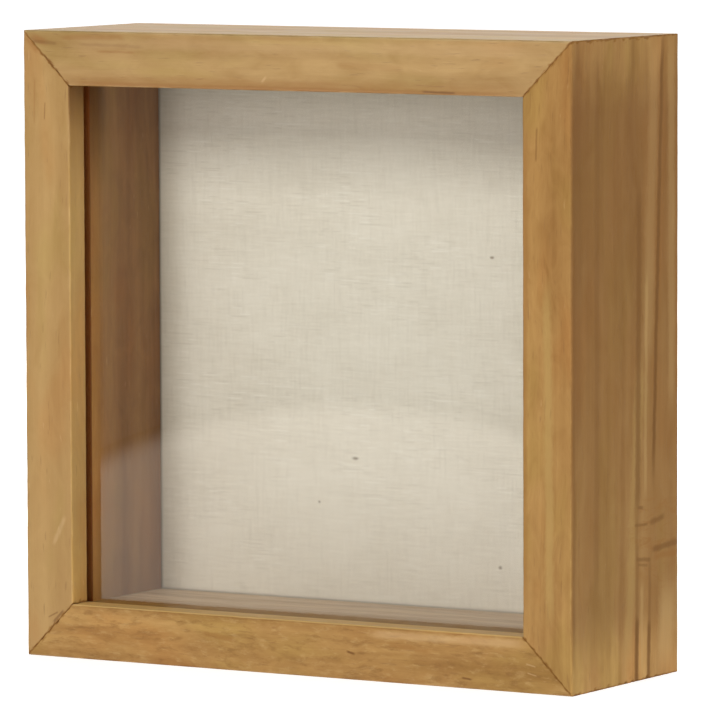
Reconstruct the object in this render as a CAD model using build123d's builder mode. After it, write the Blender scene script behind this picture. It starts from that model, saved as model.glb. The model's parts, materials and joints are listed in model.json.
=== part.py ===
from build123d import *
import os
from math import cos, radians, sin, sqrt

# A deep, square shadow-box frame. Four mitred mouldings carry a pane of glass behind their lip. Wooden
# spacers line the walls behind the glass, and a linen-covered board stands behind them. A hardboard back,
# eight turn buttons, a sawtooth hanger and two rubber bumpers are on the side that faces the wall.
#
# X runs to the viewer's right, Y from the front of the frame towards the wall, and Z up. The origin is at
# the bottom centre of the frame's box. A "depth" is a distance behind the front face. All sizes are in
# millimetres and all angles in degrees.

# Moulding
outer = 231.0  # width and height over the moulding
moulding_depth = 78.0  # front face to back face
face_width = 20.0  # flat face seen from the front
rabbet = 6.0  # how far the lip reaches in front of the glass
lip_depth = 10.0  # front face to the glass
front_arris = 0.7  # rounding of the arrises of the front face
back_arris = 0.5  # rounding of the arrises of the back face
mitre_gap = 0.1  # width of the joint line in a corner

# Glass and spacers
glass_thickness = 2.0
glass_play = 0.25  # gap between the glass and the rabbet, on each side
spacer_back = 61.2  # depth at which the spacers end
spacer_play = 0.2  # gap between the spacers and the rabbet wall
spacer_joint = 0.05  # gap where the side spacers butt against the long ones
shadow_groove = 2.0  # width and depth of the rebate behind the glass
floor_drop = 0.5  # how far the bottom spacer's top lies below the lip

# Display board
linen_front = 61.5  # depth of the linen's front
linen_thickness = 0.5
board_thickness = 10.0
linen_size = 202.0  # width and height over the linen
linen_return = 18.0  # width of linen turned over onto the back of the board
staple_inset = 12.0  # from the edge of the linen to the staples
staple_spacing = 60.0
staple_crown = 10.0
staple_width = 0.7
staple_wire = 0.5  # thickness of the crown and of the legs
staple_legs = 7.0

# Backing board
backing_thickness = 3.0
backing_size = 202.4
backing_chamfer = 0.4

# Turn buttons and their screws
pivot_inset = 7.0  # from the outer face of the moulding to a button's screw
button_spacing = 130.0  # between the two screws on one side
button_lift = 0.2  # gap under a button
button_thickness = 1.0
button_head = 5.0  # radius round the screw
button_tip = 2.75  # radius at the far end
button_reach = 14.5  # from the screw to the far end
button_hole = 1.57  # radius
button_chamfer = 0.2
rib_height = 0.5
rib_width = 2.0
rib_round = 0.3
screw_gap = 0.15  # gap between a button and its screw's head
screw_head = 3.0  # radius
screw_head_height = 1.75
screw_head_round = 1.2
screw_shank = 1.5  # radius
screw_length = 10.0
screw_tip = 2.5  # length of the tapered tip
screw_tip_taper = 24.0
recess_width = 0.8
recess_span = 3.2
recess_depth = 1.1
pilot_play = 0.03  # gap round a screw or nail in the wood

# V-nails in the mitres
v_nail_height = 10.0
v_nail_leg = 5.0
v_nail_thickness = 0.4
v_nail_insets = (4.0, 10.5)  # from the outer corner, measured square to each side
v_nail_sunk = 0.3  # below the back face

# Sawtooth hanger
hanger_length = 45.0
hanger_height = 10.0
hanger_thickness = 0.8
hanger_raised = 1.2  # how far the toothed middle stands off the flat ends
hanger_end = 9.5  # length of each flat end
hanger_ramp = 2.0  # length of each slope up to the middle
tooth_pitch = 2.5
tooth_depth = 1.3
nail_shank = 0.75  # radius
nail_head = 1.7  # radius
nail_head_height = 0.7
nail_head_round = 0.35
nail_length = 11.0
nail_hole = 0.85  # radius

# Wall bumpers
bumper_radius = 4.75
bumper_height = 3.5
bumper_inset = 7.5  # from the two outer faces of the corner to the bumper's centre
bumper_taper = 12.0
bumper_round = 0.8

# Worked out from the above
half = outer / 2
opening = half - face_width  # centre to the inner edge of the lip
rabbet_wall = opening + rabbet  # centre to the wall of the rabbet
glass_back = lip_depth + glass_thickness
lining_floor = opening + floor_drop  # centre to the bottom spacer's top
long_spacer = rabbet_wall - spacer_play  # half its length
short_spacer = (opening + lining_floor) / 2 - spacer_joint  # half its length
board_front = linen_front + linen_thickness
board_back = board_front + board_thickness
return_back = board_back + linen_thickness
backing_front = moulding_depth - backing_thickness
pivot = half - pivot_inset  # centre to the line of the screws
button_front = moulding_depth + button_lift
head_front = button_front + button_thickness + screw_gap
total_depth = moulding_depth + bumper_height
joint_setback = mitre_gap / sqrt(2)

SIDES = {"right_stile": 0, "top_rail": 90, "left_stile": 180, "bottom_rail": 270}


def facing_wall(depth, angle=0):
    """At a depth, facing the wall: x runs outward through the side at this angle, and y along it."""
    outward = (cos(radians(angle)), 0, sin(radians(angle)))
    return Plane(origin=(0, depth - total_depth / 2, half), x_dir=outward, z_dir=(0, 1, 0))


def across(angle):
    """Square to the side at this angle: x runs outward from the frame's centre, and y is the depth."""
    outward = (cos(radians(angle)), 0, sin(radians(angle)))
    along = (-sin(radians(angle)), 0, cos(radians(angle)))
    return Plane(origin=(0, -total_depth / 2, half), x_dir=outward, z_dir=along)


def save(part, name):
    part.label = name
    export_step(part, f"parts/{name}.step")


def v_nails_in_plan(thickness):
    """The chevrons of all eight V-nails, each with one leg in either moulding of its corner."""
    with BuildSketch(facing_wall(moulding_depth)) as plan:
        for inset in v_nail_insets:
            with PolarLocations((half - inset) * sqrt(2), 4, start_angle=45):
                for direction in (135, -135):
                    Rectangle(v_nail_leg, thickness, direction, align=(Align.MIN, Align.CENTER))
    return plan.sketch


def staple_legs_in_plan(play=0.0):
    """The two legs of each of the twelve staples."""
    with BuildSketch(facing_wall(return_back)) as plan:
        with PolarLocations(linen_size / 2 - staple_inset, 4):
            with GridLocations(0, staple_spacing, 1, 3):
                with GridLocations(0, staple_crown - staple_wire, 1, 2):
                    Rectangle(staple_width + 2 * play, staple_wire + 2 * play)
    return plan.sketch


os.makedirs("parts", exist_ok=True)

# Mouldings: an L-shaped section, mitred at both ends, with slots for the V-nails and holes for the screws
for name, angle in SIDES.items():
    with BuildPart() as moulding:
        with BuildSketch(across(angle)) as section:
            with Locations(((opening + half) / 2, lip_depth / 2)):
                Rectangle(face_width, lip_depth)
            with Locations(((rabbet_wall + half) / 2, moulding_depth / 2)):
                Rectangle(half - rabbet_wall, moulding_depth)
            fillet(section.vertices().group_by(Axis.Y)[0], front_arris)
            fillet(section.vertices().group_by(Axis.Y)[-1], back_arris)
        extrude(amount=half, both=True)
        with BuildSketch(facing_wall(0, angle)):
            with BuildLine():
                Polyline(
                    (joint_setback, 0),
                    (outer, outer - joint_setback),
                    (outer, joint_setback - outer),
                    close=True,
                )
            make_face()
        extrude(amount=moulding_depth, mode=Mode.INTERSECT)
        extrude(v_nails_in_plan(v_nail_thickness + 2 * pilot_play), -v_nail_height - v_nail_sunk, mode=Mode.SUBTRACT)
        with Locations(facing_wall(moulding_depth, angle)):
            with Locations((pivot, -button_spacing / 2), (pivot, button_spacing / 2)):
                Hole(screw_shank + pilot_play, screw_length + screw_tip)
            if name == "top_rail":
                with GridLocations(0, hanger_length - hanger_end, 1, 2):
                    with Locations((pivot, 0)):
                        Hole(nail_shank + pilot_play, nail_length)
    save(moulding.part, name)

with BuildPart() as v_nails:
    extrude(v_nails_in_plan(v_nail_thickness), -v_nail_height - v_nail_sunk)
    with BuildSketch(facing_wall(moulding_depth - v_nail_sunk)):
        Rectangle(outer, outer)
    extrude(amount=v_nail_sunk, mode=Mode.SUBTRACT)
save(v_nails.part, "corner_v_nails")

# Glass
with BuildPart() as glass:
    with BuildSketch(facing_wall(lip_depth)):
        Rectangle(2 * (rabbet_wall - glass_play), 2 * (rabbet_wall - glass_play))
    extrude(amount=glass_thickness)
save(glass.part, "glass_pane")

# Spacers: the top and bottom ones are full length, and the side ones stand between them. The bottom one is
# thinner than the others.
spacers = {
    "spacer_top": (across(90), opening, long_spacer),
    "spacer_bottom": (across(270), lining_floor, long_spacer),
    "spacer_left": (across(180).offset(floor_drop / 2), opening, short_spacer),
    "spacer_right": (across(0).offset(-floor_drop / 2), opening, short_spacer),
}
for name, (plane, face, half_length) in spacers.items():
    with BuildPart() as spacer:
        with BuildSketch(plane):
            with Locations((face, glass_back)):
                Rectangle(rabbet_wall - spacer_play - face, spacer_back - glass_back, align=Align.MIN)
                Rectangle(shadow_groove, shadow_groove, align=Align.MIN, mode=Mode.SUBTRACT)
        extrude(amount=half_length, both=True)
    save(spacer.part, name)

# Display board, its linen and the staples
with BuildPart() as board:
    with BuildSketch(facing_wall(board_front)):
        Rectangle(linen_size - 2 * linen_thickness, linen_size - 2 * linen_thickness)
    extrude(amount=board_thickness)
    extrude(staple_legs_in_plan(pilot_play), -staple_legs - pilot_play, mode=Mode.SUBTRACT)
save(board.part, "display_board")

with BuildPart() as linen:
    with BuildSketch(facing_wall(linen_front)):
        Rectangle(linen_size, linen_size)
    extrude(amount=return_back - linen_front)
    with BuildSketch(facing_wall(board_front)):
        Rectangle(linen_size - 2 * linen_thickness, linen_size - 2 * linen_thickness)
    extrude(amount=board_thickness, mode=Mode.SUBTRACT)
    with BuildSketch(facing_wall(board_back)):
        Rectangle(linen_size - 2 * linen_return, linen_size - 2 * linen_return)
    extrude(amount=linen_thickness, mode=Mode.SUBTRACT)
    extrude(staple_legs_in_plan(pilot_play), -linen_thickness, mode=Mode.SUBTRACT)
save(linen.part, "linen_cover")

with BuildPart() as staples:
    extrude(staple_legs_in_plan(), -staple_legs)
    with BuildSketch(facing_wall(return_back)):
        with PolarLocations(linen_size / 2 - staple_inset, 4):
            with GridLocations(0, staple_spacing, 1, 3):
                Rectangle(staple_width, staple_crown)
    extrude(amount=staple_wire)
save(staples.part, "linen_staples")

with BuildPart() as backing:
    with BuildSketch(facing_wall(backing_front)):
        Rectangle(backing_size, backing_size)
    extrude(amount=backing_thickness)
    chamfer(backing.edges().group_by(Axis.Y)[-1], backing_chamfer)
save(backing.part, "backing_board")

# Turn buttons, parallel to the mouldings with their far ends towards the middle of the side
button_places = {
    "turn_button_top_left": (90, -1),
    "turn_button_top_right": (90, 1),
    "turn_button_right_upper": (0, -1),
    "turn_button_right_lower": (0, 1),
    "turn_button_bottom_right": (270, -1),
    "turn_button_bottom_left": (270, 1),
    "turn_button_left_lower": (180, -1),
    "turn_button_left_upper": (180, 1),
}
for name, (angle, end) in button_places.items():
    screw = end * button_spacing / 2
    tip = screw - end * (button_reach - button_tip)
    rib_start = screw - end * button_head
    with BuildPart() as button:
        with BuildSketch(facing_wall(button_front, angle)):
            with Locations((pivot, screw)):
                Circle(button_head)
            with Locations((pivot, tip)):
                Circle(button_tip)
            make_hull()
            with Locations((pivot, screw)):
                Circle(button_hole, mode=Mode.SUBTRACT)
        extrude(amount=button_thickness)
        chamfer(button.edges().group_by(Axis.Y)[-1], button_chamfer)
        with BuildSketch(facing_wall(button_front + button_thickness, angle)):
            with Locations((pivot, (rib_start + tip) / 2)):
                SlotOverall(abs(rib_start - tip) + rib_width / 2, rib_width, 90)
        extrude(amount=rib_height)
        fillet(button.edges().group_by(Axis.Y)[-1], rib_round)
    save(button.part, name)

with BuildPart() as screws:
    for angle in SIDES.values():
        with BuildSketch(facing_wall(head_front, angle)):
            with Locations((pivot, -button_spacing / 2), (pivot, button_spacing / 2)):
                Circle(screw_head)
        extrude(amount=screw_head_height)
    fillet(screws.edges().group_by(Axis.Y)[-1], screw_head_round)
    for angle in SIDES.values():
        with BuildSketch(facing_wall(head_front + screw_head_height, angle)):
            with Locations((pivot, -button_spacing / 2), (pivot, button_spacing / 2)):
                Rectangle(recess_span, recess_width)
                Rectangle(recess_width, recess_span)
        extrude(amount=-recess_depth, mode=Mode.SUBTRACT)
        with BuildSketch(facing_wall(head_front, angle)):
            with Locations((pivot, -button_spacing / 2), (pivot, button_spacing / 2)):
                Circle(screw_shank)
        extrude(amount=moulding_depth - screw_length - head_front)
        with BuildSketch(facing_wall(moulding_depth - screw_length, angle)):
            with Locations((pivot, -button_spacing / 2), (pivot, button_spacing / 2)):
                Circle(screw_shank)
        extrude(amount=-screw_tip, taper=screw_tip_taper)
save(screws.part, "turn_button_screws")

# Sawtooth hanger: flat nailed ends, and a raised middle with teeth on its lower edge
middle = hanger_length / 2 - hanger_end - hanger_ramp
with BuildPart() as hanger:
    with BuildSketch(Plane(origin=(0, moulding_depth - total_depth / 2, outer - pivot_inset), z_dir=(0, 0, 1))):
        with BuildLine() as under:
            Polyline(
                (-hanger_length / 2, 0),
                (-middle - hanger_ramp, 0),
                (-middle, hanger_raised),
                (middle, hanger_raised),
                (middle + hanger_ramp, 0),
                (hanger_length / 2, 0),
            )
            Polyline(
                (-hanger_length / 2, 0),
                (-hanger_length / 2, hanger_thickness),
                (-middle - hanger_ramp, hanger_thickness),
                (-middle, hanger_raised + hanger_thickness),
                (middle, hanger_raised + hanger_thickness),
                (middle + hanger_ramp, hanger_thickness),
                (hanger_length / 2, hanger_thickness),
                (hanger_length / 2, 0),
            )
        make_face()
    extrude(amount=hanger_height / 2, both=True)
    with BuildSketch(facing_wall(moulding_depth, 90)):
        with Locations((pivot - hanger_height / 2, 0)):
            with GridLocations(0, tooth_pitch, 1, int(2 * middle / tooth_pitch)):
                Polygon((0, -tooth_pitch / 2), (0, tooth_pitch / 2), (tooth_depth, 0), align=None)
    extrude(amount=hanger_raised + hanger_thickness, mode=Mode.SUBTRACT)
    with Locations(facing_wall(moulding_depth + hanger_thickness, 90)):
        with GridLocations(0, hanger_length - hanger_end, 1, 2):
            with Locations((pivot, 0)):
                Hole(nail_hole, hanger_thickness)
save(hanger.part, "sawtooth_hanger")

with BuildPart() as nails:
    nail_places = [(pivot, end * (hanger_length - hanger_end) / 2) for end in (-1, 1)]
    with BuildSketch(facing_wall(moulding_depth + hanger_thickness, 90)):
        with Locations(nail_places):
            Circle(nail_head)
    extrude(amount=nail_head_height)
    fillet(nails.edges().group_by(Axis.Y)[-1], nail_head_round)
    with BuildSketch(facing_wall(moulding_depth + hanger_thickness, 90)):
        with Locations(nail_places):
            Circle(nail_shank)
    extrude(amount=-nail_length - hanger_thickness)
save(nails.part, "hanger_nails")

# Rubber bumpers in the lower corners
for name, end in {"wall_bumper_left": -1, "wall_bumper_right": 1}.items():
    with BuildPart() as bumper:
        with BuildSketch(facing_wall(moulding_depth, 270)):
            with Locations((half - bumper_inset, -end * (half - bumper_inset))):
                Circle(bumper_radius)
        extrude(amount=bumper_height, taper=bumper_taper)
        fillet(bumper.edges().group_by(Axis.Y)[-1], bumper_round)
    save(bumper.part, name)
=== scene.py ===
import json
import math

import bmesh
import bpy
import numpy as np
from mathutils import Matrix, Vector, noise

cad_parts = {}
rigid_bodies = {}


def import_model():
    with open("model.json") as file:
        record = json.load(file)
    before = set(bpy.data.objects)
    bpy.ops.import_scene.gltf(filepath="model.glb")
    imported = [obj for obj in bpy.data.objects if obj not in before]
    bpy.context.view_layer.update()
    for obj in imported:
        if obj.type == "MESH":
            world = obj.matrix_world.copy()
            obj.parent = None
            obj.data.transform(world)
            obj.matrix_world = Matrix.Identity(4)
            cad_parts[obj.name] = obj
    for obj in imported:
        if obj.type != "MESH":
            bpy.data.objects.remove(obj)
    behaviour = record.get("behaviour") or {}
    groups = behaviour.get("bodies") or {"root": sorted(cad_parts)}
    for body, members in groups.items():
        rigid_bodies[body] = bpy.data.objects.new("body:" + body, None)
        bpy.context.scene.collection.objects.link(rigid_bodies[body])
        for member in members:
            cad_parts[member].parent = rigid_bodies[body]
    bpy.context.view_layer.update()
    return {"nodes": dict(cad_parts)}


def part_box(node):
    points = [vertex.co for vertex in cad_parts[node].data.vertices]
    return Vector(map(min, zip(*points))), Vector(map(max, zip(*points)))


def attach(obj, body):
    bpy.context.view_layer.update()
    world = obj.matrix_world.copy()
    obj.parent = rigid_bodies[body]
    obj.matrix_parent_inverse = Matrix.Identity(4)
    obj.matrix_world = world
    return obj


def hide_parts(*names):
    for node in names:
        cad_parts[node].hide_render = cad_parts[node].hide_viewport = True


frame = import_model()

NODES = frame["nodes"]
MM = 0.001

# Places read from the frame
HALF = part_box("right_stile")[1].x
MID_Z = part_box("top_rail")[1].z - HALF
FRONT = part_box("top_rail")[0].y
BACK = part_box("top_rail")[1].y
DEPTH = BACK - FRONT
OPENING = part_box("spacer_right")[0].x
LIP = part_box("glass_pane")[0].y - FRONT
GLASS_PLAY = 0.25 * MM
RABBET_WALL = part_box("glass_pane")[1].x + GLASS_PLAY
LINING_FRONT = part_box("spacer_right")[0].y
LINEN_LOW, LINEN_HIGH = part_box("linen_cover")
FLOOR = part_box("spacer_bottom")[1].z

THREAD = 0.5 * MM
SIDES = {"right_stile": 0, "top_rail": 90, "left_stile": 180, "bottom_rail": 270}


# -------------------------------------------------------------------------------------- shader kit

class Shader:
    """A node material with a Principled BSDF, and short calls that add and link nodes."""

    def __init__(self, name):
        self.material = bpy.data.materials.new(name)
        self.material.use_nodes = True
        self.tree = self.material.node_tree
        self.bsdf = self.tree.nodes["Principled BSDF"]

    def put(self, socket, value):
        if isinstance(value, bpy.types.NodeSocket):
            self.tree.links.new(value, socket)
        else:
            socket.default_value = value

    def node(self, kind, values=None, **settings):
        made = self.tree.nodes.new(kind)
        for key, value in settings.items():
            setattr(made, key, value)
        for key, value in (values or {}).items():
            self.put(made.inputs[key], value)
        return made

    def set(self, **values):
        """Sets the Principled sockets, named with _ in place of a space."""
        for key, value in values.items():
            self.put(self.bsdf.inputs[key.replace("_", " ")], value)

    def math(self, operation, a, b=0.0, c=0.0):
        made = self.node("ShaderNodeMath", operation=operation)
        for socket, value in zip(made.inputs, (a, b, c)):
            self.put(socket, value)
        return made.outputs[0]

    def vector(self, operation, a, b=(0, 0, 0)):
        made = self.node("ShaderNodeVectorMath", operation=operation)
        self.put(made.inputs[0], a)
        self.put(made.inputs[1], b)
        return made.outputs["Value" if operation in ("LENGTH", "DISTANCE", "DOT_PRODUCT") else "Vector"]

    def place(self):
        return self.node("ShaderNodeTexCoord").outputs["Object"]

    def split(self, vector):
        return self.node("ShaderNodeSeparateXYZ", {"Vector": vector}).outputs

    def join(self, x, y, z):
        return self.node("ShaderNodeCombineXYZ", {"X": x, "Y": y, "Z": z}).outputs[0]

    def noise(self, vector, scale=1.0, detail=3.0, roughness=0.5, distortion=0.0):
        values = {"Vector": vector, "Scale": scale, "Detail": detail, "Roughness": roughness,
                  "Distortion": distortion}
        return self.node("ShaderNodeTexNoise", values).outputs["Fac"]

    def stretched(self, vector, scales, offset=(0, 0, 0), turn=(0, 0, 0)):
        values = {"Vector": vector, "Scale": scales, "Location": offset, "Rotation": turn}
        return self.node("ShaderNodeMapping", values).outputs[0]

    def spread(self, value, low, high, to_low=0.0, to_high=1.0, smooth=True):
        """Maps low..high to to_low..to_high, clamped."""
        values = {"Value": value, "From Min": low, "From Max": high, "To Min": to_low, "To Max": to_high}
        kind = "SMOOTHSTEP" if smooth else "LINEAR"
        return self.node("ShaderNodeMapRange", values, interpolation_type=kind).outputs[0]

    def mix(self, amount, a, b, blend="MIX"):
        made = self.node("ShaderNodeMix", data_type="RGBA", blend_type=blend)
        self.put(made.inputs[0], amount)
        for socket, value in ((made.inputs[6], a), (made.inputs[7], b)):
            self.put(socket, (*value, 1.0) if isinstance(value, tuple) and len(value) == 3 else value)
        return made.outputs[2]

    def tinted(self, colour, tint):
        return self.mix(1.0, colour, tint, "MULTIPLY")

    def ramp(self, value, stops):
        made = self.node("ShaderNodeValToRGB", {"Fac": value})
        elements = made.color_ramp.elements
        while len(elements) < len(stops):
            elements.new(0.5)
        for element, (place, colour) in zip(elements, stops):
            element.position = place
            element.color = (*colour, 1.0)
        return made.outputs["Color"]

    def bump(self, height, distance):
        values = {"Height": height, "Distance": distance}
        self.set(Normal=self.node("ShaderNodeBump", values).outputs[0])

    def attribute(self, name):
        return self.node("ShaderNodeAttribute", attribute_name=name).outputs["Fac"]


def dress(node, material):
    """Gives a CAD node its material."""
    data = NODES[node].data
    data.materials.clear()
    data.materials.append(material)


# --------------------------------------------------------------------------------------- materials

HONEY = ((0.500, 0.308, 0.112), (0.335, 0.180, 0.052))
RUSSET = ((0.475, 0.272, 0.086), (0.300, 0.148, 0.038))
UMBER = ((0.350, 0.182, 0.064), (0.190, 0.084, 0.026))


def wood(name, along, offset, tones, contrast=1.0, gloss=0.5, rubbed=0.35, details=()):
    """Waxed brown wood with the grain along the X or Z axis, light and dark tones, and its own marks."""
    s = Shader(name)
    x, y, z = s.split(s.place())
    grain = s.join(x, z, y) if along == "X" else s.join(z, x, y)
    grain = s.vector("ADD", grain, offset)

    # the grain wanders by a millimetre or two
    drift = s.noise(s.stretched(grain, (11, 30, 30)), detail=2)
    drift = s.math("MULTIPLY", s.math("SUBTRACT", drift, 0.5), 9 * MM)
    bent = s.vector("ADD", grain, s.join(0.0, drift, drift))

    bands = s.noise(s.stretched(bent, (3.5, 95, 95)), detail=2, roughness=0.45)
    streaks = s.noise(s.stretched(bent, (9, 480, 480)), detail=3, roughness=0.55)
    fibres = s.noise(s.stretched(bent, (45, 2600, 2600)), detail=2)
    mottle = s.noise(s.stretched(bent, (70, 170, 170)), detail=3, roughness=0.6, distortion=0.8)
    patches = s.noise(s.stretched(grain, (17, 52, 52), offset=(5, 1, 3)), detail=2)

    tone = 0.5
    for layer, weight in ((bands, 0.90), (streaks, 0.28), (mottle, 0.50), (fibres, 0.12)):
        tone = s.math("MULTIPLY_ADD", s.math("SUBTRACT", layer, 0.5), weight * contrast, tone)
    light, dark = tones
    middle = tuple((a + b) / 2 for a, b in zip(light, dark))
    colour = s.ramp(s.spread(tone, 0.25, 0.75, smooth=False), [(0.0, dark), (0.5, middle), (1.0, light)])

    # redder and more olive patches
    colour = s.mix(s.spread(patches, 0.50, 0.68, 0.0, 0.75), colour, s.tinted(colour, (1.0, 0.88, 0.78)))
    colour = s.mix(s.spread(patches, 0.48, 0.32, 0.0, 0.75), colour, s.tinted(colour, (0.94, 1.0, 0.86)))

    # short dark pores and a few pale torn fibres
    pores = s.noise(s.stretched(bent, (120, 1300, 1300), offset=(3, 5, 7)), detail=1)
    pores = s.spread(pores, 0.66, 0.76)
    colour = s.mix(s.math("MULTIPLY", pores, 0.30), colour, (0.20, 0.095, 0.03))
    torn = s.noise(s.stretched(bent, (150, 800, 800), offset=(8, 1, 2)), detail=2)
    torn = s.spread(torn, 0.69, 0.80)
    colour = s.mix(s.math("MULTIPLY", torn, 0.22), colour, (0.66, 0.44, 0.22))

    for detail in details:
        colour = detail(s, colour, (x, y, z), bent)

    # dirt in the mitres, and arrises rubbed a little paler
    dirt = s.attribute("mitre")
    colour = s.mix(s.math("MULTIPLY", dirt, 0.95), colour, (0.215, 0.090, 0.020))
    worn = s.math("MULTIPLY", s.attribute("arris"), s.spread(mottle, 0.40, 0.65, 0.0, rubbed))
    colour = s.mix(worn, colour, (0.60, 0.40, 0.19))

    height = s.math("MULTIPLY_ADD", fibres, 0.30, s.math("MULTIPLY", streaks, 0.8))
    height = s.math("SUBTRACT", height, s.math("MULTIPLY", pores, 0.5))
    s.bump(height, 0.08 * MM)
    s.set(Base_Color=colour, IOR=1.42, Specular_IOR_Level=gloss,
          Roughness=s.math("MAXIMUM", s.spread(mottle, 0.3, 0.7, 0.36, 0.48), s.spread(dirt, 0.0, 0.4)))
    return s.material


def stroke(s, colour, plane, start, end, width, tint, strength, wobble):
    """A ragged mark from one point of a plane to another, in millimetres. It has its full strength along
    its core and fades over the rest of its half width, and wobble is how far its line wanders."""
    core = 0.2
    run = Vector(end) - Vector(start)
    unit = run.normalized()
    across, up = (s.math("SUBTRACT", s.math("DIVIDE", axis, MM), origin)
                  for axis, origin in zip(plane, start))
    along = s.math("ADD", s.math("MULTIPLY", across, unit.x), s.math("MULTIPLY", up, unit.y))
    beside = s.math("SUBTRACT", s.math("MULTIPLY", up, unit.x), s.math("MULTIPLY", across, unit.y))
    if wobble:
        wander = s.noise(s.join(s.math("MULTIPLY", along, 0.045), start[0], 0.0), detail=3)
        beside = s.math("MULTIPLY_ADD", s.math("SUBTRACT", wander, 0.5), 2 * wobble, beside)
    ragged = s.join(s.math("MULTIPLY", along, 0.35), s.math("MULTIPLY", beside, 1.2), start[1])
    ragged = s.noise(ragged, detail=2)
    reach = s.math("MULTIPLY", s.math("ADD", ragged, 0.5), width)
    mask = s.spread(s.math("ABSOLUTE", beside), reach, s.math("MULTIPLY", reach, core))
    fade = max(width, 0.06 * run.length)
    mask = s.math("MULTIPLY", mask, s.spread(along, 0.0, 2 * fade))
    mask = s.math("MULTIPLY", mask, s.spread(along, run.length, run.length - 2 * fade))
    return s.mix(s.math("MULTIPLY", mask, strength), colour, tint)


PALE = (0.68, 0.46, 0.24)
BROWN = (0.185, 0.078, 0.016)
RED_BROWN = (0.29, 0.125, 0.026)
TAN = (0.52, 0.335, 0.130)
OLIVE = (0.44, 0.285, 0.090)
DEEP = (0.190, 0.082, 0.016)


def face_marks(*marks):
    """Marks seen on the front face: start and end in X and Z, half width, tint, strength, wobble."""
    def add(s, colour, place, grain):
        face = (place[0], place[2])
        for start, end, width, tint, strength, wobble in marks:
            colour = stroke(s, colour, face, start, end, width, tint, strength, wobble)
        return colour
    return add


def outer_side(s, x):
    """1 on the outer side of the right stile and 0 on its face."""
    return s.spread(x, HALF - 1.0 * MM, HALF - 0.4 * MM)


def side_marks(*marks):
    """Marks on the outer side of the right stile: start and end in depth and Z, then as on the front."""
    def add(s, colour, place, grain):
        x, y, z = place
        side = (s.math("SUBTRACT", y, FRONT), z)
        outside = outer_side(s, x)
        for start, end, width, tint, strength, wobble in marks:
            strength = s.math("MULTIPLY", outside, strength)
            colour = stroke(s, colour, side, start, end, width, tint, strength, wobble)
        return colour
    return add


def rippled(amount):
    """Short slanting dashes where the grain dips in and out of the face, as in curly wood."""
    def add(s, colour, place, grain):
        dark = s.noise(s.stretched(grain, (130, 400, 400), turn=(0, 0, 0.30)), detail=4, roughness=0.65)
        pale = s.noise(s.stretched(grain, (170, 520, 520), offset=(2, 7, 4), turn=(0, 0, 0.36)), detail=4,
                       roughness=0.65)
        colour = s.mix(s.spread(dark, 0.48, 0.72, 0.0, amount), colour, BROWN)
        return s.mix(s.spread(pale, 0.50, 0.76, 0.0, amount), colour, TAN)
    return add


def knotty(depth_mm, height_mm, reach_mm, amount):
    """Ripples across the grain round a knot at the back of the right stile's outer side."""
    def add(s, colour, place, grain):
        x, y, z = place
        deep = s.math("SUBTRACT", s.math("SUBTRACT", y, FRONT), depth_mm * MM)
        high = s.math("SUBTRACT", z, height_mm * MM)
        reach = s.vector("LENGTH", s.join(s.math("MULTIPLY", deep, 0.75), 0.0, high))
        near = s.spread(reach, reach_mm * MM, 0.45 * reach_mm * MM)
        near = s.math("MULTIPLY", near, outer_side(s, x))
        curl = s.noise(s.join(s.math("MULTIPLY", deep, 75), 0.0, s.math("MULTIPLY", high, 300)), detail=3,
                       roughness=0.6, distortion=1.2)
        return s.mix(s.math("MULTIPLY", near, s.spread(curl, 0.46, 0.66, 0.0, amount)), colour, RED_BROWN)
    return add


def lining_painted_light_and_shade(s, colour, place, grain):
    """Painted light and shade: the rebate behind the glass painted dark as shade, a lighter golden band
    painted just behind it, strongest low down, and painted shade near the top.
    """
    behind = s.math("SUBTRACT", place[1], LINING_FRONT)
    # painted light: a lighter, more golden band just behind the rebate, strongest lower down
    painted_light_band = s.math("MULTIPLY", s.spread(behind, 13 * MM, 4 * MM),
                    s.spread(place[2], 205 * MM, 140 * MM, 0.1, 0.75))
    colour = s.mix(painted_light_band, colour, s.tinted(colour, (1.50, 1.42, 1.10)))
    # painted shade on the lining near its top, under the top rail
    shaded = s.math("MULTIPLY", s.spread(behind, 16 * MM, 8 * MM), s.spread(place[2], 165 * MM, 205 * MM))
    colour = s.mix(shaded, colour, s.tinted(colour, (0.50, 0.43, 0.36)))
    # painted shade: the rebate behind the glass painted dark
    return s.mix(s.spread(behind, 3.0 * MM, 2.4 * MM), colour, (0.135, 0.030, 0.003))


def streaks_with_painted_light_and_shade(s, colour, place, grain):
    """The bottom spacer's top is painted paler all over as light falling on it, in streaks along the
    grain, with painted shade along its front just behind the lip.
    """
    # painted light: the whole top is mixed 55 to 95 per cent towards a pale colour, in streaks along the
    # grain
    streaks = s.noise(s.stretched(grain, (14, 260, 260), offset=(1, 6, 2)), detail=3, roughness=0.6)
    colour = s.mix(s.spread(streaks, 0.36, 0.60, 0.55, 0.95), colour, (0.57, 0.42, 0.26))
    # painted shade: a dark band just behind the lip
    behind = s.math("SUBTRACT", place[1], LINING_FRONT)
    return s.mix(s.spread(behind, 24 * MM, 9 * MM, 0.0, 0.95), colour, (0.27, 0.130, 0.024))


def painted_light_on_side(s, colour, place, grain):
    """Painted light: the outer side of the right stile is painted paler than its face, most of all near
    the floor.
    """
    up = s.spread(place[2], 30 * MM, 215 * MM, smooth=False)
    tint = s.mix(up, (1.45, 1.56, 1.70), (1.03, 1.05, 1.04))
    tint = s.mix(s.spread(place[2], 42 * MM, 2 * MM), tint, (1.26, 1.28, 1.34))
    return s.mix(outer_side(s, place[0]), colour, s.tinted(colour, tint))


def darker_above(s, colour, place, grain):
    """The right stile is darker towards its top."""
    return s.mix(s.spread(place[2], 40 * MM, 190 * MM), colour, s.tinted(colour, (0.86, 0.82, 0.76)))


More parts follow.
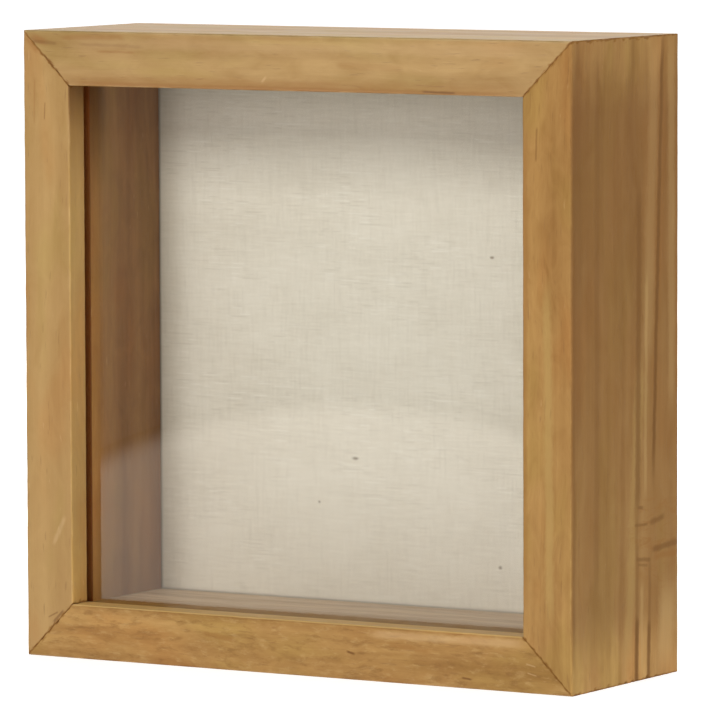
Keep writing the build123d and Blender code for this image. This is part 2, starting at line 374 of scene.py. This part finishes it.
def painted_light_and_shade_on_lip(s, colour, place, grain):
    """Painted light and shade on the left stile's lip inside the opening: painted paler and yellower,
    lighter still low down, and painted shade in its top corner.
    """
    inside = s.spread(place[0], -OPENING - 0.6 * MM, -OPENING - 0.1 * MM)
    # painted light: the lip inside the opening painted paler and yellower, and paler still lower down
    colour = s.mix(s.math("MULTIPLY", inside, 0.8), colour, s.tinted(colour, (1.35, 1.40, 1.25)))
    colour = s.mix(s.math("MULTIPLY", inside, s.spread(place[2], 60 * MM, 20 * MM, 0.0, 0.7)), colour,
                   s.tinted(colour, (1.30, 1.30, 1.25)))
    # painted shade in the top corner, under the top rail
    colour = s.mix(s.math("MULTIPLY", inside, s.spread(place[2], 165 * MM, 211 * MM)), colour,
                   s.tinted(colour, (0.62, 0.52, 0.42)))
    return s.mix(s.math("MULTIPLY", inside, s.spread(place[2], 192 * MM, 212 * MM)), colour,
                 s.tinted(colour, (0.60, 0.54, 0.50)))


def painted_light_on_lip_top(s, colour, place, grain):
    """Painted light: the bottom rail's lip is painted golden on top, where light falls on it."""
    low = MID_Z - OPENING
    inside = s.math("MULTIPLY", s.spread(place[2], low - 0.6 * MM, low - 0.1 * MM),
                    s.spread(place[1], FRONT + LIP + 0.5 * MM, FRONT + LIP))
    return s.mix(s.math("MULTIPLY", inside, 0.85), colour, (0.72, 0.47, 0.17))


def painted_sheen_on_top(s, colour, place, grain):
    """Painted sheen: the top rail's upper side is painted a paler cream, as light and reflection fall on
    it.
    """
    above = s.spread(place[2], MID_Z + HALF - 1.0 * MM, MID_Z + HALF - 0.3 * MM)
    return s.mix(above, colour, s.tinted(colour, (1.12, 1.22, 1.40)))


def linen_cloth():
    """Unbleached linen: fine uneven threads, a few dark specks, a painted contact shadow along the wood,
    and painted shade along its top and left edges.
    """
    s = Shader("linen")
    x, y, z = s.split(s.place())
    wander = s.noise(s.stretched(s.place(), (50, 50, 70)), detail=2)
    wander = s.math("MULTIPLY", s.math("SUBTRACT", wander, 0.5), 3.0)
    weft = s.math("SINE", s.math("MULTIPLY_ADD", z, 2 * math.pi / THREAD, wander))
    warp = s.math("SINE", s.math("MULTIPLY_ADD", x, 2 * math.pi / THREAD, wander))
    weave = s.math("MULTIPLY_ADD", s.math("MULTIPLY", weft, warp), 0.5, s.math("MULTIPLY", weft, 0.5))
    threads = s.noise(s.stretched(s.place(), (110, 110, 1400)), detail=2, roughness=0.6)
    uprights = s.noise(s.stretched(s.place(), (1300, 110, 110)), detail=2, roughness=0.6)
    cloudy = s.noise(s.stretched(s.place(), (30, 30, 50)), detail=2)
    tone = 0.5
    for layer, weight in ((threads, 0.22), (uprights, 0.16), (cloudy, 0.20)):
        tone = s.math("MULTIPLY_ADD", s.math("SUBTRACT", layer, 0.5), weight, tone)
    tone = s.math("MULTIPLY_ADD", weave, 0.02, tone)
    shades = [(0.30, (0.60, 0.545, 0.44)), (0.5, (0.725, 0.675, 0.565)), (0.70, (0.82, 0.775, 0.67))]
    colour = s.ramp(tone, shades)
    # thick and thin threads show as short broken lines, more in some patches than in others
    patches = s.noise(s.stretched(s.place(), (34, 34, 55), offset=(3, 3, 8)), detail=2)
    patches = s.spread(patches, 0.42, 0.62, 0.25, 1.0)
    for seed, shade, depth in ((3.7, (0.50, 0.445, 0.35), 0.27), (8.1, (0.87, 0.84, 0.755), 0.30)):
        row = s.math("DIVIDE", s.math("ADD", z, seed * MM), 1.5 * THREAD)
        line = s.math("MULTIPLY", s.math("FLOOR", row), 7.3)
        dashes = s.noise(s.join(s.math("MULTIPLY", x, 105), line, seed), detail=1)
        beside = s.math("ABSOLUTE", s.math("SUBTRACT", s.math("FRACT", row), 0.5))
        dashes = s.math("MULTIPLY", s.spread(dashes, 0.58, 0.68, 0.0, depth), s.spread(beside, 0.5, 0.15))
        colour = s.mix(s.math("MULTIPLY", dashes, patches), colour, shade)
    column = s.math("DIVIDE", x, 1.5 * THREAD)
    line = s.math("MULTIPLY", s.math("FLOOR", column), 7.3)
    upright = s.noise(s.join(line, s.math("MULTIPLY", z, 70), 5.5), detail=1)
    colour = s.mix(s.spread(upright, 0.58, 0.68, 0.0, 0.09), colour, (0.50, 0.45, 0.36))
    specks = (  # X, Z and radius in millimetres, and its roundness: 1 is a dot, less is a line along X
        (-10.3, 72.8, 0.55, 0.45),
        (48.0, 149.0, 0.5, 0.60),
        (-25.9, 55.9, 0.45, 1.0),
        (51.3, 35.8, 0.6, 0.85))
    for across, up, radius, squeeze in specks:
        sideways = s.math("MULTIPLY", s.math("SUBTRACT", x, across * MM), squeeze)
        here = s.join(sideways, 0.0, s.math("SUBTRACT", z, up * MM))
        speck = s.spread(s.vector("LENGTH", here), 1.6 * radius * MM, 0.4 * radius * MM)
        colour = s.mix(s.math("MULTIPLY", speck, 0.75), colour, (0.22, 0.17, 0.11))
    # painted shade towards the left and under the top lip, and a painted contact shadow along the line of
    # the spacers
    aside = s.math("SUBTRACT", OPENING, s.math("ABSOLUTE", x))
    above = s.math("MINIMUM", s.math("SUBTRACT", MID_Z + OPENING, z), s.math("SUBTRACT", z, FLOOR))
    inward = s.math("MINIMUM", aside, above)
    colour = s.mix(s.spread(inward, 0.9 * MM, 0.0, 0.0, 0.55), colour, (0.26, 0.19, 0.12))
    shade = s.tinted(colour, (0.72, 0.69, 0.65))
    colour = s.mix(s.spread(x, -OPENING + 14 * MM, -OPENING), colour, shade)
    colour = s.mix(s.spread(z, 195 * MM, 212 * MM), colour, s.tinted(colour, (0.74, 0.73, 0.70)))
    s.bump(s.math("MULTIPLY_ADD", threads, 0.7, s.math("MULTIPLY", weave, 0.25)), 0.03 * MM)
    s.set(Base_Color=colour, Roughness=0.92, Specular_IOR_Level=0.25, Sheen_Weight=0.2,
          Sheen_Roughness=0.5)
    return s.material


def clear_glass():
    s = Shader("glass")
    s.set(Base_Color=(0.985, 1.0, 0.99, 1.0), Transmission_Weight=1.0, IOR=1.5, Roughness=0.0)
    return s.material


def hardboard():
    """Tempered hardboard: a smooth, dark brown face with pressed fibres."""
    s = Shader("hardboard")
    fibres = s.noise(s.place(), 620, 5, 0.7, 1.5)
    clouds = s.noise(s.place(), 38, 3, 0.6)
    flakes = s.node("ShaderNodeTexVoronoi", {"Vector": s.place(), "Scale": 520.0, "Randomness": 1.0})
    tone = s.math("MULTIPLY_ADD", clouds, 0.18, s.math("MULTIPLY", fibres, 0.82))
    shades = [(0.3, (0.10, 0.050, 0.022)), (0.5, (0.165, 0.087, 0.040)), (0.72, (0.27, 0.155, 0.080))]
    colour = s.ramp(tone, shades)
    pale = s.spread(flakes.outputs["Distance"], 0.16, 0.02, 0.0, 0.28)
    colour = s.mix(pale, colour, (0.36, 0.23, 0.13))
    s.bump(s.math("ADD", fibres, s.math("MULTIPLY", pale, 0.5)), 0.08 * MM)
    s.set(Base_Color=colour, Roughness=s.spread(clouds, 0.3, 0.7, 0.42, 0.62))
    return s.material


def fibreboard():
    s = Shader("board")
    grains = s.noise(s.place(), 900, 4, 0.7)
    layers = s.noise(s.stretched(s.place(), (30, 700, 30)), detail=2)
    tone = s.math("MULTIPLY_ADD", layers, 0.5, s.math("MULTIPLY", grains, 0.5))
    colour = s.ramp(tone, [(0.3, (0.36, 0.25, 0.15)), (0.7, (0.56, 0.43, 0.29))])
    s.bump(grains, 0.1 * MM)
    s.set(Base_Color=colour, Roughness=0.85)
    return s.material


def metal(name, bright, dull, rough, brushed):
    """Plated steel with a cloudy, finely scratched finish."""
    scratch = 0.4
    s = Shader(name)
    clouds = s.noise(s.place(), 260, 3, 0.6)
    lines = s.noise(s.stretched(s.place(), brushed), detail=2)
    pits = s.spread(s.noise(s.place(), 2600, 2), 0.66, 0.74)
    colour = s.mix(clouds, dull, bright)
    colour = s.mix(s.math("MULTIPLY", pits, 0.35), colour, tuple(0.5 * c for c in dull))
    rough_low, rough_high = rough
    s.bump(s.math("MULTIPLY_ADD", lines, scratch, s.math("MULTIPLY", clouds, 0.5)), 0.03 * MM)
    s.set(Base_Color=colour, Metallic=1.0, Roughness=s.spread(clouds, 0.3, 0.7, rough_low, rough_high))
    return s.material


def soft_rubber():
    s = Shader("rubber")
    dust = s.noise(s.place(), 420, 4, 0.7)
    grain = s.noise(s.place(), 3200, 2)
    colour = s.ramp(dust, [(0.35, (0.018, 0.018, 0.019)), (0.75, (0.075, 0.072, 0.068))])
    s.bump(grain, 0.04 * MM)
    s.set(Base_Color=colour, Roughness=s.spread(dust, 0.3, 0.7, 0.55, 0.8), Specular_IOR_Level=0.35)
    return s.material


# ---------------------------------------------------------------------------------------- geometry

def add_object(name, points, faces, material, smooth_angle=None):
    data = bpy.data.meshes.new(name)
    data.from_pydata([tuple(p) for p in points], [], faces)
    data.validate()
    work = bmesh.new()
    work.from_mesh(data)
    bmesh.ops.recalc_face_normals(work, faces=work.faces)
    work.to_mesh(data)
    work.free()
    made = bpy.data.objects.new(name, data)
    bpy.context.scene.collection.objects.link(made)
    data.materials.append(material)
    if smooth_angle is not None:
        soften(data, smooth_angle)
    return made


def soften(data, degrees):
    data.polygons.foreach_set("use_smooth", [True] * len(data.polygons))
    data.set_sharp_from_angle(angle=math.radians(degrees))


def moulding_section():
    """The moulding's outline square to its length: (outward, depth, is it an arris) round the loop."""
    corners = [  # outward, depth, radius of its rounding, spacing of the points on the run that follows
        (OPENING, 0.0, 0.5 * MM, 0.7 * MM),
        (HALF, 0.0, 0.7 * MM, 1.6 * MM),
        (HALF, DEPTH, 0.5 * MM, 1.4 * MM),
        (RABBET_WALL, DEPTH, 0.4 * MM, 8 * MM),
        (RABBET_WALL, LIP, 0.0, 3 * MM),
        (OPENING, LIP, 0.3 * MM, 1.2 * MM),
    ]
    arc_steps = 5
    outline = []
    for index, (across, deep, radius, spacing) in enumerate(corners):
        here = Vector((across, deep))
        before = (Vector(corners[index - 1][:2]) - here).normalized()
        next_corner = corners[(index + 1) % len(corners)]
        after = (Vector(next_corner[:2]) - here).normalized()
        if radius:
            centre = here + radius * (before + after)
            for step in range(arc_steps + 1):
                turn = math.pi / 2 * step / arc_steps
                point = centre - radius * (math.cos(turn) * after + math.sin(turn) * before)
                outline.append((point.x, point.y, math.sin(2 * turn)))
        else:
            outline.append((across, deep, 0.0))
        start = here + radius * after
        end = Vector(next_corner[:2]) - next_corner[2] * after
        pieces = max(1, round((end - start).length / spacing))
        for step in range(1, pieces):
            point = start.lerp(end, step / pieces)
            outline.append((point.x, point.y, 0.0))
    return np.array(outline)


def rough(points, scale, seed):
    """Smooth noise from about -1 to 1 at each point."""
    return np.array([noise.noise(Vector(p) * scale + Vector((seed, 2 * seed, 3 * seed))) for p in points])


def moulding(name, angle, seed, material):
    """One side of the frame, with eased and slightly chipped mitres and rubbed arrises."""
    outline = moulding_section()
    count = len(outline)
    before, after = np.roll(outline[:, :2], 1, 0), np.roll(outline[:, :2], -1, 0)
    tangent = after - before
    normal = np.stack([tangent[:, 1], -tangent[:, 0]], 1)
    normal /= np.linalg.norm(normal, axis=1)[:, None]

    joint = 0.02 * MM
    from_mitre = np.array([0, 0.05, 0.10, 0.16, 0.24, 0.34, 0.5, 0.75, 1.1, 1.7, 2.6, 4.0]) * MM
    middle = np.linspace(-1, 1, 104)[1:-1]
    reach = outline[:, 0] - joint
    along = [-(reach - e) for e in from_mitre]
    along += [t * (reach - from_mitre[-1]) for t in middle]
    along += [reach - e for e in from_mitre[::-1]]
    along = np.array(along)
    stations = len(along)
    distance = reach[None, :] - np.abs(along)

    across = np.tile(outline[:, 0], (stations, 1))
    deep = np.tile(outline[:, 1], (stations, 1))
    arris = np.tile(outline[:, 2], (stations, 1))
    points = np.stack([across, deep, along], 2).reshape(-1, 3)
    waves = rough(points, 45, seed).reshape(stations, count)
    worn = rough(points, 170, seed + 11).reshape(stations, count)
    bites = rough(points, 620, seed + 23).reshape(stations, count)
    nicks = rough(points, 1500, seed + 31).reshape(stations, count)

    eased_width, chipped_width = 0.21 * MM, 0.95 * MM
    eased_depth, chipped_depth = 0.06 * MM, 0.34 * MM
    unevenness, rubbed_off = 0.03 * MM, 0.16 * MM
    chip = np.clip(bites - 0.10, 0, 1) * 2.3 + np.clip(nicks - 0.05, 0, 1) * 1.3
    width = eased_width + chipped_width * chip
    eased = np.clip(1 - distance / width, 0, 1) ** 1.4
    sink = eased * (eased_depth + chipped_depth * chip)
    sink += unevenness * waves
    sink += arris * np.clip(0.35 + worn, 0, 1) * rubbed_off
    across = across - normal[None, :, 0] * sink
    deep = deep - normal[None, :, 1] * sink

    turn = math.radians(angle)
    outward = np.array([math.cos(turn), 0, math.sin(turn)])
    sideways = np.array([-math.sin(turn), 0, math.cos(turn)])
    place = np.array([0, FRONT, MID_Z])
    points = (place + across[..., None] * outward + along[..., None] * sideways
              + deep[..., None] * np.array([0, 1, 0])).reshape(-1, 3)
    faces = []
    for row in range(stations - 1):
        for column in range(count):
            a, b = row * count + column, row * count + (column + 1) % count
            faces.append((a, b, b + count, a + count))
    faces.append(tuple(range(count - 1, -1, -1)))
    faces.append(tuple(range((stations - 1) * count, stations * count)))
    made = add_object(name, points, faces, material, 35)
    dirt = np.clip(1.6 - distance / (0.22 * MM + 0.6 * width), 0, 1)
    dirt = dirt * np.clip(0.85 + 1.5 * bites, 0.45, 1)
    for label, values in (("mitre", dirt), ("arris", arris)):
        layer = made.data.attributes.new(label, "FLOAT", "POINT")
        layer.data.foreach_set("value", values.astype(np.float32).ravel())
    return made


def nail_cutter():
    """The V-nails a little fatter and carried out past the back face, to cut slots in the mouldings."""
    room = 0.06 * MM
    past_the_back = 1 * MM
    work = bmesh.new()
    work.from_mesh(NODES["corner_v_nails"].data)
    bmesh.ops.remove_doubles(work, verts=work.verts, dist=0.001 * MM)
    bmesh.ops.recalc_face_normals(work, faces=work.faces)
    for vert in work.verts:
        vert.co += vert.normal * room
        if vert.co.y > BACK - past_the_back:
            vert.co.y = BACK + past_the_back
    data = bpy.data.meshes.new("nail_cutter")
    work.to_mesh(data)
    work.free()
    return bpy.data.objects.new("nail_cutter", data)


def cut(piece, cutter):
    scene_objects = bpy.context.scene.collection.objects
    scene_objects.link(cutter)
    modifier = piece.modifiers.new("slots", "BOOLEAN")
    modifier.object = cutter
    modifier.operation = "DIFFERENCE"
    modifier.solver = "EXACT"
    depsgraph = bpy.context.evaluated_depsgraph_get()
    piece.data = bpy.data.meshes.new_from_object(piece.evaluated_get(depsgraph))
    piece.modifiers.clear()
    scene_objects.unlink(cutter)


def linen_sheet(material):
    """The cloth over the display board: a face of uneven threads, sides, and returns onto its back."""
    half = LINEN_HIGH.x
    face, back = LINEN_LOW.y, LINEN_HIGH.y
    bend = 1.2 * MM
    press_depth = 0.32
    press_reach = 1.6 * MM
    returns = (5, 9, 13, 18)
    inner = half - bend
    columns, rows = 101, 2 * round(inner / THREAD) + 1
    xs = np.linspace(-inner, inner, columns)
    zs = np.linspace(-inner, inner, rows)
    draw = np.random.default_rng(41)
    thread = draw.normal(0, 1, rows)
    points = np.array([(x, 0.0, z) for z in zs for x in xs])
    slubs = rough(points * (1, 1, 20), 70, 4.1).reshape(rows, columns)
    sway = rough(points, 22, 8.3).reshape(rows, columns)
    lift = np.clip(0.008 * thread[:, None] + 0.016 * slubs + 0.03 * sway, -0.09, 0.09)
    # the spacers press the cloth down along the edge of the opening
    above = np.minimum(OPENING - zs, zs + MID_Z - FLOOR)[:, None]
    inward = np.minimum(OPENING - np.abs(xs)[None, :], above)
    pressed = np.clip(1 - inward / press_reach, 0, 1) ** 2
    deep = face + (0.1 - lift * (1 - pressed) + press_depth * pressed) * MM
    grid = np.stack([np.tile(xs, (rows, 1)), deep, np.tile(zs[:, None], (1, columns))], 2).reshape(-1, 3)
    faces = [(r * columns + c, r * columns + c + 1, (r + 1) * columns + c + 1, (r + 1) * columns + c)
             for r in range(rows - 1) for c in range(columns - 1)]

    rim = [c for c in range(columns)] + [r * columns + columns - 1 for r in range(1, rows)]
    rim += [(rows - 1) * columns + c for c in range(columns - 2, -1, -1)]
    rim += [r * columns for r in range(rows - 2, 0, -1)]
    edge = grid[rim] / inner
    profile = [(inner + bend * math.sin(a), face + bend * (1 - math.cos(a)) + 0.42 * MM * math.cos(a))
               for a in np.radians((30, 60, 90))]
    profile += [(half, face + t * (back - face)) for t in (0.35, 0.65)]
    profile += [(half - bend * (1 - math.cos(a)), back - bend * (1 - math.sin(a)))
                for a in np.radians((0, 45, 90))]
    profile += [(half - t * MM, back) for t in returns]
    layers = [grid]
    previous = rim
    count = len(rim)
    for step, (out, depth) in enumerate(profile):
        ring = edge * out
        ring[:, 1] = depth
        if step > len(profile) - len(returns):
            ring[:, 1] -= 0.10 * MM * np.clip(rough(ring, 90, 2.7), 0, 1)
        first = len(grid) + step * count
        current = list(range(first, first + count))
        faces += [(previous[i], current[i], current[(i + 1) % count], previous[(i + 1) % count])
                  for i in range(count)]
        layers.append(ring)
        previous = current
    points = np.concatenate(layers) + (0, 0, MID_Z)
    return add_object("linen_sheet", points, faces, material, 50)


# --------------------------------------------------------------------------- the frame's mouldings

def scaled(tones, factor):
    return tuple(tuple(factor * channel for channel in tone) for tone in tones)


WOODS = {
    "top_rail": wood("wood_top", "X", (0.31, 0.12, 0.05), scaled(HONEY, 0.90), gloss=0.75, details=[
        painted_sheen_on_top,
        face_marks(
            ((-114.0, 228.8), (-103.5, 226.4), 2.2, RED_BROWN, 0.75, 0.8),
            ((-100.0, 228.5), (-70.0, 229.0), 1.4, RED_BROWN, 0.40, 0.8),
            ((-112.0, 227.0), (-100, 226.2), 1.0, BROWN, 0.45, 0.8),
            ((-92, 226.4), (-62, 225.6), 0.9, BROWN, 0.30, 0.9),
            ((-84, 223.8), (-66, 223.6), 0.7, RED_BROWN, 0.40, 0.6),
            ((-20, 228.6), (30, 228.3), 1.1, OLIVE, 0.50, 0.8),
            ((18, 221.0), (48, 220.0), 1.8, RED_BROWN, 0.22, 1.2),
            ((-70, 217.0), (-30, 216.0), 2.2, OLIVE, 0.35, 1.2),
            ((-100, 211.8), (100, 211.6), 1.3, RED_BROWN, 0.60, 0.3),
            ((-104, 213.2), (104, 213.0), 3.2, RED_BROWN, 0.32, 0.3),
            ((-104, 226.5), (112, 226.8), 3.2, PALE, 0.13, 0.6),
            ((54, 212.0), (69, 211.8), 0.6, BROWN, 0.90, 0.0),
            ((-12.8, 213.4), (-10.0, 216.4), 0.8, PALE, 0.30, 0.3))]),
    "left_stile": wood("wood_left", "Z", (0.77, 0.43, 0.22), scaled(HONEY, 0.93), contrast=0.65, details=[
        face_marks(
            ((-106.0, 205.0), (-106.4, 198.0), 0.4, BROWN, 0.50, 0.2),
            ((-115.0, 229.5), (-108.0, 222.0), 1.6, RED_BROWN, 0.50, 0.6),
            ((-110.5, 214.0), (-110.8, 196.0), 0.5, RED_BROWN, 0.35, 0.3),
            ((-104.5, 12.5), (-99.0, 18.0), 0.8, BROWN, 0.70, 0.5),
            ((-106.5, 14.5), (-101.5, 17.0), 0.5, BROWN, 0.60, 0.4),
            ((-104.0, 41.0), (-98.0, 53.0), 1.3, PALE, 0.25, 0.5)),
        painted_light_and_shade_on_lip]),
    "bottom_rail": wood("wood_bottom", "X", (1.53, 0.85, 0.61), RUSSET, contrast=1.15, gloss=0.3, details=[
        rippled(0.50),
        face_marks(
            ((22.0, 10.4), (26.5, 9.2), 0.7, BROWN, 0.95, 0.0),
            ((70.0, 3.9), (75.0, 3.3), 0.6, BROWN, 0.90, 0.0),
            ((30.0, 17.0), (98.0, 17.4), 2.2, PALE, 0.30, 0.8),
            ((-96.0, 20.0), (60.0, 19.9), 0.9, BROWN, 0.66, 0.2),
            ((-40.0, 13.0), (-24.0, 11.0), 1.4, RED_BROWN, 0.45, 0.6),
            ((38.0, 14.0), (58.0, 12.2), 1.5, RED_BROWN, 0.45, 0.6),
            ((-84.0, 9.0), (-66.0, 6.4), 1.5, RED_BROWN, 0.35, 0.6),
            ((96.5, 10.6), (101.0, 9.6), 0.40, PALE, 0.30, 1.0),
            ((97.0, 7.4), (101.5, 6.6), 0.40, PALE, 0.30, 1.0)),
        painted_light_on_lip_top]),
    "right_stile": wood("wood_right", "Z", (2.19, 1.37, 0.93), RUSSET, gloss=0.3, rubbed=0.0, details=[
        darker_above,
        painted_light_on_side,
        face_marks(
            ((96.5, 25.0), (96.3, 206.0), 1.6, RED_BROWN, 0.40, 0.6),
            ((115.7, 1.0), (115.7, 230.0), 1.0, BROWN, 0.65, 0.2),
            ((101.5, 201.0), (101.0, 188.0), 0.6, BROWN, 0.50, 0.3),
            ((105.5, 150.0), (106.5, 20.0), 2.6, OLIVE, 0.50, 1.0)),
        side_marks(
            ((0.9, 1.0), (0.9, 230.0), 2.4, BROWN, 0.35, 0.3),
            ((4.0, 80.0), (4.0, 236.0), 4.6, BROWN, 0.34, 0.6),
            ((66.0, -6.0), (72.0, 40.0), 9.0, TAN, 0.50, 0.8),
            ((17.6, 20.0), (18.0, 238.0), 3.2, BROWN, 0.36, 0.6),
            ((27.0, 70.0), (30.0, 230.0), 10.0, RED_BROWN, 0.10, 2.0),
            ((40.0, 1.0), (50.0, 120.0), 5.0, OLIVE, 0.40, 2.0),
            ((55.0, 110.0), (61.0, 236.0), 5.5, TAN, 0.22, 2.0),
            ((73.5, 90.0), (72.5, 236.0), 3.8, TAN, 0.26, 1.0),
            ((76.8, 40.0), (76.8, 215.0), 1.6, RED_BROWN, 0.40, 0.6),
            ((60.0, 84.0), (66.5, 224.0), 4.5, RED_BROWN, 0.25, 1.6),
            ((59.0, 66.0), (66.6, 238.0), 1.9, DEEP, 0.95, 1.2),
            ((47.4, 52.0), (49.0, 185.0), 3.0, DEEP, 0.72, 1.2),
            ((53.4, 62.0), (54.6, 150.0), 1.6, TAN, 0.30, 1.2),
            ((47.0, -6.0), (47.4, 25.0), 2.2, DEEP, 0.85, 0.8),
            ((47.4, 10.0), (47.0, 62.0), 2.0, DEEP, 0.45, 0.8),
            ((51.4, 2.0), (51.0, 36.0), 1.6, TAN, 0.30, 0.8),
            ((55.6, -6.0), (56.4, 22.0), 1.9, DEEP, 0.75, 0.8),
            ((56.4, 8.0), (56.8, 44.0), 1.7, DEEP, 0.40, 0.8)),
        knotty(65.0, 50.0, 22.0, 0.60),
        side_marks(((55.6, 56.3), (69.0, 58.0), 1.6, BROWN, 0.62, 0.9),
                   ((44.7, 56.3), (56.0, 56.0), 0.9, BROWN, 0.50, 0.4),
                   ((57.5, 46.2), (80.0, 47.4), 1.8, BROWN, 0.62, 0.9),
                   ((58.5, 43.6), (80.0, 43.7), 1.8, RED_BROWN, 0.65, 0.9),
                   ((46.0, 44.0), (58.5, 43.0), 1.2, BROWN, 0.55, 0.6),
                   ((47.4, 42.0), (56.0, 40.8), 0.8, BROWN, 0.45, 0.3),
                   ((47.0, 62.6), (53.0, 62.0), 1.0, BROWN, 0.60, 0.3)),
    ]),
}
cutter = nail_cutter()
for seed, (name, angle) in enumerate(SIDES.items()):
    rail = moulding(name + "_visible", angle, 7.3 * seed + 3, WOODS[name])
    cut(rail, cutter)
    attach(rail, "frame")
    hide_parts(name)
bpy.data.objects.remove(cutter)


# --------------------------------------------------------------------------------------- the linen

linen = linen_sheet(linen_cloth())
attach(linen, "back_panel")
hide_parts("linen_cover")

# ------------------------------------------------------------------------------ carried-over nodes

LINING = {  # direction of the grain, where it is taken from, gloss, details
    "top": ("X", (3.1, 2.0, 1.1), 0.12, [lining_painted_light_and_shade]),
    "bottom": ("X", (4.3, 0.4, 2.3), 0.15, [lining_painted_light_and_shade, streaks_with_painted_light_and_shade]),
    "left": ("Z", (5.7, 1.9, 0.2), 0.12, [lining_painted_light_and_shade]),
    "right": ("Z", (6.1, 3.3, 2.9), 0.12, [lining_painted_light_and_shade]),
}
for side, (along, offset, gloss, details) in LINING.items():
    dress("spacer_" + side,
          wood("wood_spacer_" + side, along, offset, UMBER, contrast=0.75, gloss=gloss, details=details))

glass = NODES["glass_pane"]
dress("glass_pane", clear_glass())
glass.visible_shadow = False
glass.visible_diffuse = False

zinc = metal("zinc_steel", (0.74, 0.74, 0.72), (0.50, 0.51, 0.52), (0.40, 0.56), (300, 300, 1800))
brass = metal("brass_plated_steel", (0.80, 0.60, 0.28), (0.56, 0.39, 0.15), (0.36, 0.50), (900, 300, 900))
blued = metal("blued_steel", (0.30, 0.31, 0.34), (0.13, 0.13, 0.15), (0.30, 0.50), (300, 1800, 300))
wire = metal("staple_wire", (0.70, 0.70, 0.68), (0.48, 0.48, 0.47), (0.28, 0.45), (500, 500, 500))
rubber = soft_rubber()
for name in NODES:
    if name.startswith("turn_button"):
        dress(name, zinc)
    elif name.startswith("wall_bumper"):
        dress(name, rubber)
dress("sawtooth_hanger", zinc)
dress("hanger_nails", brass)
dress("corner_v_nails", blued)
dress("linen_staples", wire)
dress("display_board", fibreboard())
dress("backing_board", hardboard())

# ------------------------------------------------------------------------ camera, lights and floor

scene = bpy.context.scene
scene.view_settings.view_transform = "Standard"

WIDTH = 2 * HALF
AZIMUTH, ELEVATION, ROLL = 31.157, 4.985, -0.188
camera_data = bpy.data.cameras.new("camera")
camera_data.sensor_width = 36
camera_data.lens = 338.3
camera = bpy.data.objects.new("camera", camera_data)
turned = Matrix.Rotation(math.radians(AZIMUTH), 4, "Z")
turned = turned @ Matrix.Rotation(math.radians(90 - ELEVATION), 4, "X")
turned = turned @ Matrix.Rotation(math.radians(ROLL), 4, "Z")
camera_place = (5.521 * WIDTH, FRONT - 8.927 * WIDTH, 1.410 * WIDTH)
camera.matrix_world = Matrix.Translation(camera_place) @ turned
scene.collection.objects.link(camera)
scene.camera = camera


def softbox(name, place, target, size, power, colour=(1, 1, 1)):
    data = bpy.data.lights.new(name, "AREA")
    data.shape = "RECTANGLE"
    data.size, data.size_y = size
    data.energy = power
    data.color = colour
    lamp = bpy.data.objects.new(name, data)
    lamp.location = place
    lamp.rotation_euler = (Vector(target) - Vector(place)).to_track_quat("-Z", "Y").to_euler()
    scene.collection.objects.link(lamp)
    return lamp


centre = (0, 0, MID_Z)
softbox("key", (0.0, -2.20, 1.27), centre, (1.6, 0.8), 32, (1.0, 0.985, 0.96))
softbox("side", (1.42, -0.40, 0.42), centre, (0.6, 0.6), 4.6)
back_light = softbox("back", (-0.5, 1.1, 1.2), centre, (0.9, 0.6), 26, (1.0, 0.95, 0.85))
back_light.visible_glossy = False
softbox("rim", (0.75, 1.2, 0.9), centre, (1.2, 1.0), 5)


def studio():
    """The room: dim all round, with a lit white backdrop behind the object, and white to the camera."""
    backdrop = Vector((-0.515, 0.857, 0.1)).normalized()
    glow_range = {"From Min": 0.80, "From Max": 0.93, "To Min": 0.16, "To Max": 0.95}
    world = bpy.data.worlds.new("studio")
    scene.world = world
    world.use_nodes = True
    tree = world.node_tree
    direction = tree.nodes.new("ShaderNodeTexCoord").outputs["Generated"]
    facing = tree.nodes.new("ShaderNodeVectorMath")
    facing.operation = "DOT_PRODUCT"
    tree.links.new(direction, facing.inputs[0])
    facing.inputs[1].default_value = backdrop
    glow = tree.nodes.new("ShaderNodeMapRange")
    tree.links.new(facing.outputs["Value"], glow.inputs["Value"])
    for key, value in glow_range.items():
        glow.inputs[key].default_value = value
    eye = tree.nodes.new("ShaderNodeLightPath")
    strength = tree.nodes.new("ShaderNodeMix")
    tree.links.new(eye.outputs["Is Camera Ray"], strength.inputs[0])
    tree.links.new(glow.outputs[0], strength.inputs[2])
    strength.inputs[3].default_value = 1.0
    background = tree.nodes["Background"]
    background.inputs["Color"].default_value = (1, 1, 1, 1)
    tree.links.new(strength.outputs[0], background.inputs["Strength"])


studio()


def floor():
    """A pale sweep, lit from within so that it stays white as far as the camera sees."""
    s = Shader("floor")
    away = s.vector("LENGTH", s.place())
    s.set(Base_Color=(0.50, 0.50, 0.50, 1), Roughness=0.9, Emission_Color=(1, 1, 1, 1),
          Emission_Strength=s.spread(away, 0.3, 1.6, 0.78, 1.0))
    reach = 30
    corners = [(-reach, -reach, 0), (reach, -reach, 0), (reach, reach, 0), (-reach, reach, 0)]
    made = add_object("floor", corners, [(0, 1, 2, 3)], s.material)
    made.visible_glossy = made.visible_transmission = False


def reflector():
    """A round warm-white card in front and to the left, seen only as a reflection in the glass."""
    s = Shader("reflector")
    place, radius, sides = Vector((-0.391, -0.698, -0.241)), 0.27, 96
    away = s.vector("LENGTH", s.vector("SUBTRACT", s.place(), place))
    s.set(Base_Color=(0, 0, 0, 1), Specular_IOR_Level=0.0, Emission_Color=(1.0, 0.91, 0.79, 1),
          Emission_Strength=s.spread(away, radius, 0.95 * radius, 0.0, 2.1))
    facing = Vector((0.519, 0.851, 0.086)).to_track_quat("Z", "Y").to_matrix()
    turns = [2 * math.pi * i / sides for i in range(sides)]
    rim = [place + radius * (facing @ Vector((math.cos(turn), math.sin(turn), 0))) for turn in turns]
    made = add_object("reflector", rim, [tuple(range(sides))], s.material)
    made.visible_camera = made.visible_diffuse = made.visible_transmission = made.visible_shadow = False


floor()
reflector()
